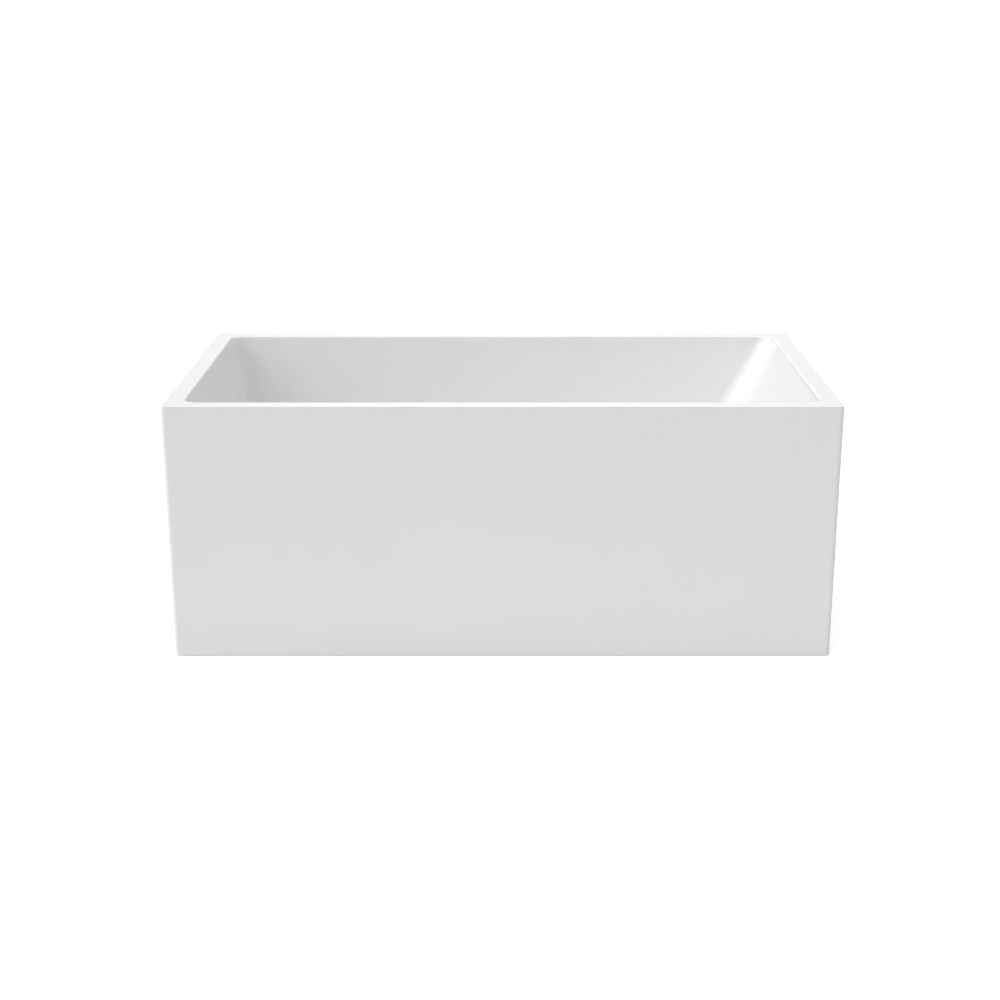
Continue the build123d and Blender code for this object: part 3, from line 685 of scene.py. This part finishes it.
def skirt_panel():
    """The upright wall, with its inward turn at the floor and the tongue that locates the rim."""
    bm = bmesh.new()
    tongue_in = SHELL + BOND_GAP + TONGUE
    loops = [outline_loop(bm, JOINT_EDGE, LIP_Z), outline_loop(bm, 0.0, LIP_Z - JOINT_EDGE)]
    for angle in quarter(ROUND_STEPS):
        loops.append(outline_loop(bm, SKIRT_FOOT_R * (1 - cos(angle)),
                                  FLOOR_GAP + SKIRT_FOOT_R * (1 - sin(angle))))
    for inset, z in ((SHELL + RETURN_WIDTH, FLOOR_GAP), (SHELL + RETURN_WIDTH, FLOOR_GAP + SHELL),
                     (SHELL, FLOOR_GAP + SHELL), (SHELL, LIP_Z - TONGUE_DROP),
                     (tongue_in, LIP_Z - TONGUE_DROP), (tongue_in, DECK_UNDER - BOND_GAP),
                     (SHELL + BOND_GAP, DECK_UNDER - BOND_GAP), (SHELL + BOND_GAP, LIP_Z)):
        loops.append(outline_loop(bm, inset, z))
    bridge(bm, loops, closed=True)
    return face_outwards(bm)


def basin_reinforcement():
    """Glass fibre under the well, uneven on its outside like hand-rolled resin."""
    bm = bmesh.new()
    lump = bm.verts.layers.float.new("lump")
    inner = well_walls(bm, SHELL, DECK_UNDER, INNER_REINFORCEMENT_STEPS)
    outer = well_walls(bm, SHELL + BACKING, DECK_UNDER, OUTER_REINFORCEMENT_STEPS)
    for vert in (vert for ring in outer for vert in ring):
        vert[lump] = 1.0
    seats = [recess_loops(bm, SHELL), recess_loops(bm, SHELL + BACKING)]
    for walls, seat in zip((inner, outer), seats):
        bridge(bm, walls)
        bridge(bm, seat)
        bmesh.ops.triangle_fill(bm, use_beauty=True, edges=ring_edges(walls[-1]) + ring_edges(seat[0]))
    bridge(bm, [seats[0][-1], seats[1][-1]])
    bridge(bm, [inner[0], outer[0]])
    for axis, half in ((0, HALF_LENGTH), (1, HALF_WIDTH)):
        for step in range(1, int(2 * half / LUMP_SPACING)):
            at, along = [0.0, 0.0, 0.0], [0, 0, 0]
            at[axis], along[axis] = step * LUMP_SPACING - half, 1
            bmesh.ops.bisect_plane(bm, geom=list(bm.verts) + list(bm.edges) + list(bm.faces),
                                   dist=LUMP_CUT_DISTANCE, plane_co=at, plane_no=along)
    bmesh.ops.recalc_face_normals(bm, faces=bm.faces)
    for vert in bm.verts:
        hold = min(max((vert.co.z - WELL_FLOOR_Z) / LUMPS_FADE_LOW, 0), 1) * vert[lump]
        hold *= min(max((DECK_UNDER - vert.co.z) / LUMPS_FADE_HIGH, 0), 1)
        vert.co += vert.normal * LUMPS * hold * noise.noise(vert.co * LUMP_NOISE_SCALE)
    bm.verts.layers.float.remove(lump)
    return bm


flat_faces(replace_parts(finish_piece(basin_shell(), "basin_shell", "tub", "acrylic"), "basin"))
flat_faces(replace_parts(finish_piece(skirt_panel(), "skirt_panel", "tub", "acrylic"), "skirt"))
# --- waste and plug, in millimetres: turned about Z, then moved to the drain ----------------------
BORE_R = 20.5
TAIL_CORE_R = 22.9
TAIL_R = 23.9
TAIL_END = 48.0
SHOULDER = 94.0
FLANGE_UNDER = 118.0
WASHER_UNDER = 103.5
SEAL_UNDER = 105.0
SEAL_TOP = 109.0
BAR_SIZE = (41.6, 6, 4)
BAR_EDGE_R = 0.5
BAR_Z = 86

# Sections of the turned pieces, as (radius, height).
WASTE_TAIL = [(BORE_R, TAIL_END), (TAIL_CORE_R, TAIL_END), (TAIL_CORE_R, SHOULDER), (TAIL_R, SHOULDER + 0.2),
              (TAIL_R, FLANGE_UNDER)]
WASTE_FLANGE = [(25.0, FLANGE_UNDER), (35.8, FLANGE_UNDER), (36.0, 119.0), (33.6, 120.4), (25.0, 120.5),
                (BORE_R, 116.0), (BORE_R, 90.0)]
FLANGE_GASKET = [(26, 117), (36, 117), (36, FLANGE_UNDER), (26, FLANGE_UNDER)]
UNDER_SEAL = [(24.0, SEAL_UNDER), (38, SEAL_UNDER), (38, SEAL_TOP), (TAIL_R, SEAL_TOP)]
SLIP_WASHER = [(24.0, WASHER_UNDER), (37, WASHER_UNDER), (37, SEAL_UNDER), (TAIL_R, SEAL_UNDER)]
PLUG_DOME = [(0, 128.5), (6, 128.38), (12, 127.99), (18, 127.33), (24, 126.41), (29, 125.42), (31.0, 124.95),
             (31.42, 124.6), (31.5, 124.1), (31.5, 121.6), (31.35, 121.35), (31.0, 121.3), (29.7, 121.3),
             (29.5, 121.5), (29.5, 122.8), (0, 122.8)]
PLUG_RING = [(22.6, 120.8), (29, 120.8), (29, 122.8), (22.5, 122.8)]
PLUG_GUIDE = [(6.1, 91.4), (6.4, 91), (7.7, 91), (8, 91.4), (8, 122.8), (6.1, 122.8)]
GUIDE_POST = [(0, 88), (5, 88), (5, 97.7), (5.3, 98), (5.7, 98), (6, 98.4), (6, 104.6), (5.6, 105),
              (2.5, 105), (2.5, 117.6), (1.8, 118.3), (0, 118.3)]


def at_drain(bm, name, body, slot, replaced):
    """Move a piece turned about Z to the drain, where it stands for a node."""
    piece = finish_piece(moved(bm, DRAIN_X), name, body, slot)
    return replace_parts(piece, replaced)


def waste_fitting():
    """Flange with a sloped edge and seat, a threaded tail below, and bars that hold the plug's post."""
    bm = turned(WASTE_TAIL + eased(WASTE_FLANGE, ease=0.5))
    join_into(bm, helical_thread(root_r=22.7, crest_r=TAIL_R, pitch=2.31, low=48.6, high=92.0, steps=64,
                                 bore_r=21.5))
    join_into(bm, cross_bars())
    return bm


def cross_bars():
    """Two crossed bars in the waste's bore."""
    bm = bmesh.new()
    for turn in (0, pi / 2):
        bar = eased_bar(BAR_SIZE, BAR_EDGE_R, segments=3)
        bmesh.ops.rotate(bar, verts=bar.verts, matrix=Matrix.Rotation(turn, 3, "Z"))
        join_into(bm, moved(bar, z=BAR_Z * MM))
    return bm


at_drain(waste_fitting(), "waste_fitting", "tub", "chrome", "waste_body")
at_drain(turned(FLANGE_GASKET), "flange_gasket", "tub", "rubber", "waste_gasket")
at_drain(turned(eased(UNDER_SEAL, ease=0.8)), "under_seal", "tub", "rubber", "waste_seal")
at_drain(turned(eased(SLIP_WASHER, ease=0.3)), "slip_washer", "tub", "nylon", "waste_washer")
at_drain(hex_nut(flats=60, bore_r=TAIL_R, low=SHOULDER, high=WASHER_UNDER), "back_nut", "tub", "brass",
         "waste_back_nut")
at_drain(turned(PLUG_DOME, closed=False), "plug_dome", "plug", "chrome", "plug_cap")
at_drain(turned(eased(PLUG_RING, ease=0.5)), "plug_ring", "plug", "rubber", "plug_seal")
at_drain(turned(PLUG_GUIDE), "plug_guide", "plug", "brass", "plug_sleeve")
at_drain(turned(GUIDE_POST, closed=False), "guide_post", "tub", "brass", "plug_post")

# --- feet, in millimetres: sections as (radius, height) -------------------------------------------
FOOT_CUP = [(0, 6), (6.05, 6), (6.05, 15.6), (6.4, 16), (12.2, 16), (12.8, 15.7), (13, 15), (13, 13),
            (24.6, 5.9), (25, 5.4), (25, 2.0), (24.6, 1.5), (21, 1.5), (21, 4), (0, 4)]
FOOT_SOLE = [(0, 0), (20.4, 0), (20.85, 0.2), (21, 0.6), (21, 4), (0, 4)]
SCREW_FOOT = [(0, 6.2), (5.1, 6.2), (6, 7.1), (6, 17), (0, 17)]
SCREW_TIP = [(0, 94.6), (5.0, 94.6), (5.5, 95.1), (4.9, 96), (0, 96)]
CONE_RUN = 11.6
CONE_FALL = 7.1
RIBS = 12
RIB_SIZE = (11, 1.6, 3)
RIB_EDGE_R = 0.5
RIB_OUT = 18.4
RIB_Z = 9.6
NUT_FLATS = 18
NUT_BORE_R = 6.05
WELD_NUT_LOW = 36
WELD_NUT_HIGH = 46
LOCK_NUT_LOW = 30


def foot_cup():
    """Moulded foot with ribs round its cone."""
    bm = turned(FOOT_CUP, closed=False)
    for number in range(RIBS):
        rib = eased_bar(RIB_SIZE, RIB_EDGE_R, segments=2)
        bmesh.ops.rotate(rib, verts=rib.verts, matrix=Matrix.Rotation(atan2(CONE_FALL, CONE_RUN), 3, "Y"))
        moved(rib, x=RIB_OUT * MM, z=RIB_Z * MM)
        bmesh.ops.rotate(rib, verts=rib.verts, matrix=Matrix.Rotation(2 * pi * number / RIBS, 3, "Z"))
        join_into(bm, rib)
    return bm


def leg_screw():
    """Plain end in the foot, spanner hexagon, and a thread above it."""
    bm = turned(SCREW_FOOT, closed=False, steps=48)
    join_into(bm, hex_nut(flats=14, bore_r=5.2, low=16.3, high=22.3))
    join_into(bm, helical_thread(root_r=5.0, crest_r=5.95, pitch=1.75, low=21.0, high=95.1))
    join_into(bm, turned(SCREW_TIP, closed=False, steps=48))
    return bm


def nuts_over_feet(low, high):
    """One nut on each leg screw, between two heights."""
    bm = bmesh.new()
    for foot_x, foot_y in FEET.values():
        join_into(bm, moved(hex_nut(NUT_FLATS, NUT_BORE_R, low, high), foot_x, foot_y))
    return bm


for foot, (foot_x, foot_y) in FEET.items():
    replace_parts(finish_piece(moved(foot_cup(), foot_x, foot_y), "foot_cup_" + foot, "foot_" + foot,
                             "black_plastic"), "foot_pad_" + foot)
    sole = turned(FOOT_SOLE, closed=False, steps=64)
    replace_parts(finish_piece(moved(sole, foot_x, foot_y), "sole_" + foot, "foot_" + foot, "rubber"),
                "foot_sole_" + foot)
    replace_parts(finish_piece(moved(leg_screw(), foot_x, foot_y), "leg_screw_" + foot, "stud_" + foot,
                             "zinc_steel"), "leg_stud_" + foot)
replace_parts(finish_piece(nuts_over_feet(WELD_NUT_LOW, WELD_NUT_HIGH), "welded_nuts", "tub", "zinc_steel"),
            "weld_nuts")
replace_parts(finish_piece(nuts_over_feet(LOCK_NUT_LOW, WELD_NUT_LOW), "locking_nuts", "tub", "zinc_steel"),
            "lock_nuts")

# --- frame, in metres -----------------------------------------------------------------------------
RIPPLE = 1.1 * MM
RIPPLE_LOOPS = 3
RIPPLE_DEPTH = 0.1
BEAD_STEPS = 12
BEAD_END_SHARE = 0.45
BEAD_END_GROWTH = 6
RAIL_BEAD_SHORTER = 6 * MM
RAIL_BEAD_R = 1.8 * MM
RAIL_BEAD_IN = 0.4 * MM
RAIL_BEAD_DROP = 0.2 * MM
NUT_BEAD_LENGTH = 9 * MM
NUT_BEAD_R = 1.3 * MM
NUT_BEAD_OUT = 9.4 * MM


def weld_bead(length, radius):
    """A rippled bead along Y, round in section and smaller at its ends."""
    bm = bmesh.new()
    ripples = round(length / RIPPLE)
    loops = []
    for step in range(ripples * RIPPLE_LOOPS + 1):
        share = step / (ripples * RIPPLE_LOOPS)
        ripple = 1 - RIPPLE_DEPTH + RIPPLE_DEPTH * cos(2 * pi * share * ripples)
        end = min(1, BEAD_END_SHARE + BEAD_END_GROWTH * min(share, 1 - share))
        loops.append(circle_ring(bm, radius * ripple * end, length * (share - 0.5), steps=BEAD_STEPS))
    bridge(bm, loops)
    for ring in (loops[0], loops[-1]):
        bmesh.ops.contextual_create(bm, geom=ring_edges(ring))
    bmesh.ops.rotate(bm, verts=bm.verts, matrix=Matrix.Rotation(pi / 2, 3, "X"))
    return face_outwards(bm)


def frame_welds():
    """Beads where the rails cross the members below them, and beside the welded nuts."""
    bm = bmesh.new()
    for cross_x in CROSS_X.values():
        for rail_y in (-RAIL_Y, RAIL_Y):
            for side in (-1, 1):
                join_into(bm, moved(weld_bead(TUBE - RAIL_BEAD_SHORTER, RAIL_BEAD_R),
                                    cross_x + side * (TUBE / 2 - RAIL_BEAD_IN), rail_y,
                                    RAIL_LOW.z - RAIL_BEAD_DROP))
    for foot_x, foot_y in FEET.values():
        for side in (-1, 1):
            join_into(bm, moved(weld_bead(NUT_BEAD_LENGTH, NUT_BEAD_R), foot_x + side * NUT_BEAD_OUT, foot_y,
                                CROSS_UNDER))
    return bm


def screw_boxes(node_name):
    """The low and high corner of each screw in a node of the frame."""
    scratch = bmesh.new()
    scratch.from_mesh(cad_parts[node_name].data)
    bmesh.ops.remove_doubles(scratch, verts=scratch.verts, dist=MERGE_DISTANCE)
    boxes = []
    left = set(scratch.verts)
    while left:
        screw, reached = set(), [left.pop()]
        while reached:
            vert = reached.pop()
            screw.add(vert)
            near = {edge.other_vert(vert) for edge in vert.link_edges} & left
            left -= near
            reached.extend(near)
        boxes.append([Vector(pick(vert.co[axis] for vert in screw) for axis in range(3))
                      for pick in (min, max)])
    scratch.free()
    return sorted(boxes, key=lambda box: tuple(box[0]))


HEAD = 4
SHANK_TIP = 0.8
SHANK_START = 0.3


def flanged_screws(node_name, shank_r, shank, head_up):
    """Flange-headed screws in the places of a node's own. Sizes in millimetres."""
    bm = bmesh.new()
    for low, high in screw_boxes(node_name):
        screw = flange_head(flats=10, head=HEAD, flange_r=7, flange=1.2)
        join_into(screw, turned([(0, SHANK_START), (shank_r, SHANK_START), (shank_r, -shank + SHANK_TIP),
                                 (shank_r - SHANK_TIP, -shank), (0, -shank)], closed=False, steps=24))
        if not head_up:
            bmesh.ops.rotate(screw, verts=screw.verts, matrix=Matrix.Rotation(pi, 3, "X"))
        seat = high.z - HEAD * MM if head_up else low.z + HEAD * MM
        middle = (low + high) / 2
        join_into(bm, moved(screw, middle.x, middle.y, seat))
    return bm


finish_piece(frame_welds(), "frame_welds", "tub", "galvanised_steel", material=WELD_METAL)
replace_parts(finish_piece(flanged_screws("bracket_bolts", shank_r=3, shank=14, head_up=True), "bracket_screws",
                         "tub", "zinc_steel"), "bracket_bolts")
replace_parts(finish_piece(flanged_screws("rail_screws", shank_r=2.75, shank=37, head_up=False), "board_screws",
                         "tub", "zinc_steel"), "rail_screws")
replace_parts(finish_piece(basin_reinforcement(), "basin_reinforcement", "tub", "glass_fibre",
                         LUMPY_SMOOTH_ANGLE), "basin_backing")
paint_frame_nodes()

# --- floor, light and camera, in metres -----------------------------------------------------------
FLOOR_SIZE = 40.0
FLOOR_COLOUR = (0.9, 0.9, 0.9, 1)
WHITE = (1, 1, 1, 1)
# The floor glows for the camera, so that it is seen white, and hardly at all for the pieces on it.
FLOOR_GLOW = 0.42
FLOOR_BOUNCE = 0.025


def studio_floor():
    """A plain pale floor that reaches far past the tub."""
    bm = bmesh.new()
    bmesh.ops.create_grid(bm, x_segments=1, y_segments=1, size=FLOOR_SIZE)
    mesh = bpy.data.meshes.new("studio_floor")
    bm.to_mesh(mesh)
    bm.free()
    floor = bpy.data.objects.new("studio_floor", mesh)
    bpy.context.scene.collection.objects.link(floor)
    material, tree, shader, _ = new_material("floor_paint")
    set_values(shader, Base_Color=FLOOR_COLOUR, Roughness=0.9, Emission_Color=WHITE)
    seen = node(tree, "LightPath", {})["Is Camera Ray"]
    glow = node(tree, "Math", {0: seen, 1: FLOOR_GLOW, 2: FLOOR_BOUNCE}, operation="MULTIPLY_ADD")[0]
    tree.links.new(glow, shader["Emission Strength"])
    mesh.materials.append(material)


# Soft light comes from wide patches of the studio: (direction, how narrow, strength).
SKY_PATCHES = (((-0.6, -0.6, 0.5), 4.0, 1.555), ((0.8, 0.0, 0.6), 4.0, 0.819),
               ((-0.8, 0.0, 0.6), 16.0, 2.785), ((0.0, 1.0, 0.3), 16.0, 1.162))


def studio_light():
    """A world that is white to the camera and lights the tub from its soft patches."""
    world = bpy.data.worlds.new("studio")
    bpy.context.scene.world = world
    world.use_nodes = True
    tree = world.node_tree
    outward = node(tree, "TexCoord", {})["Generated"]
    total = None
    for direction, narrow, strength in SKY_PATCHES:
        towards = node(tree, "VectorMath", {0: outward, 1: Vector(direction).normalized()},
                       operation="DOT_PRODUCT")["Value"]
        towards = node(tree, "Math", {0: towards, 1: 0.0}, operation="MAXIMUM")[0]
        patch = node(tree, "Math", {0: towards, 1: narrow}, operation="POWER")[0]
        patch = node(tree, "Math", {0: patch, 1: strength}, operation="MULTIPLY")[0]
        total = patch if total is None else node(tree, "Math", {0: total, 1: patch}, operation="ADD")[0]
    background = tree.nodes["Background"].inputs
    background["Color"].default_value = WHITE
    seen = node(tree, "LightPath", {})["Is Camera Ray"]
    white = node(tree, "Math", {0: seen, 1: total}, operation="MAXIMUM")[0]
    tree.links.new(white, background["Strength"])


def soft_light(name, place, aim, size, power):
    """A wide lamp at a place, turned towards its aim."""
    lamp = bpy.data.lights.new(name, "AREA")
    lamp.shape = "RECTANGLE"
    lamp.size, lamp.size_y = size
    lamp.energy = power
    light = bpy.data.objects.new(name, lamp)
    light.location = place
    light.rotation_mode = "QUATERNION"
    light.rotation_quaternion = (Vector(aim) - Vector(place)).to_track_quat("-Z", "Y")
    bpy.context.scene.collection.objects.link(light)


def front_camera(lens, place, tilt):
    """A camera in front of the tub, tilted down towards it."""
    eye = bpy.data.cameras.new("camera")
    eye.lens = lens
    camera = bpy.data.objects.new("camera", eye)
    camera.location = place
    camera.rotation_euler = (pi / 2 - tilt, 0, 0)
    bpy.context.scene.collection.objects.link(camera)
    bpy.context.scene.camera = camera


studio_floor()
studio_light()
soft_light("top_light", place=(0.0, 0.0, 3.5), aim=(0, 0, 0.3), size=(4, 3), power=60)
front_camera(lens=59.7, place=(-5.2 * MM, -3.6632, 1.3752), tilt=radians(17.307))
bpy.context.scene.view_settings.view_transform = "Standard"
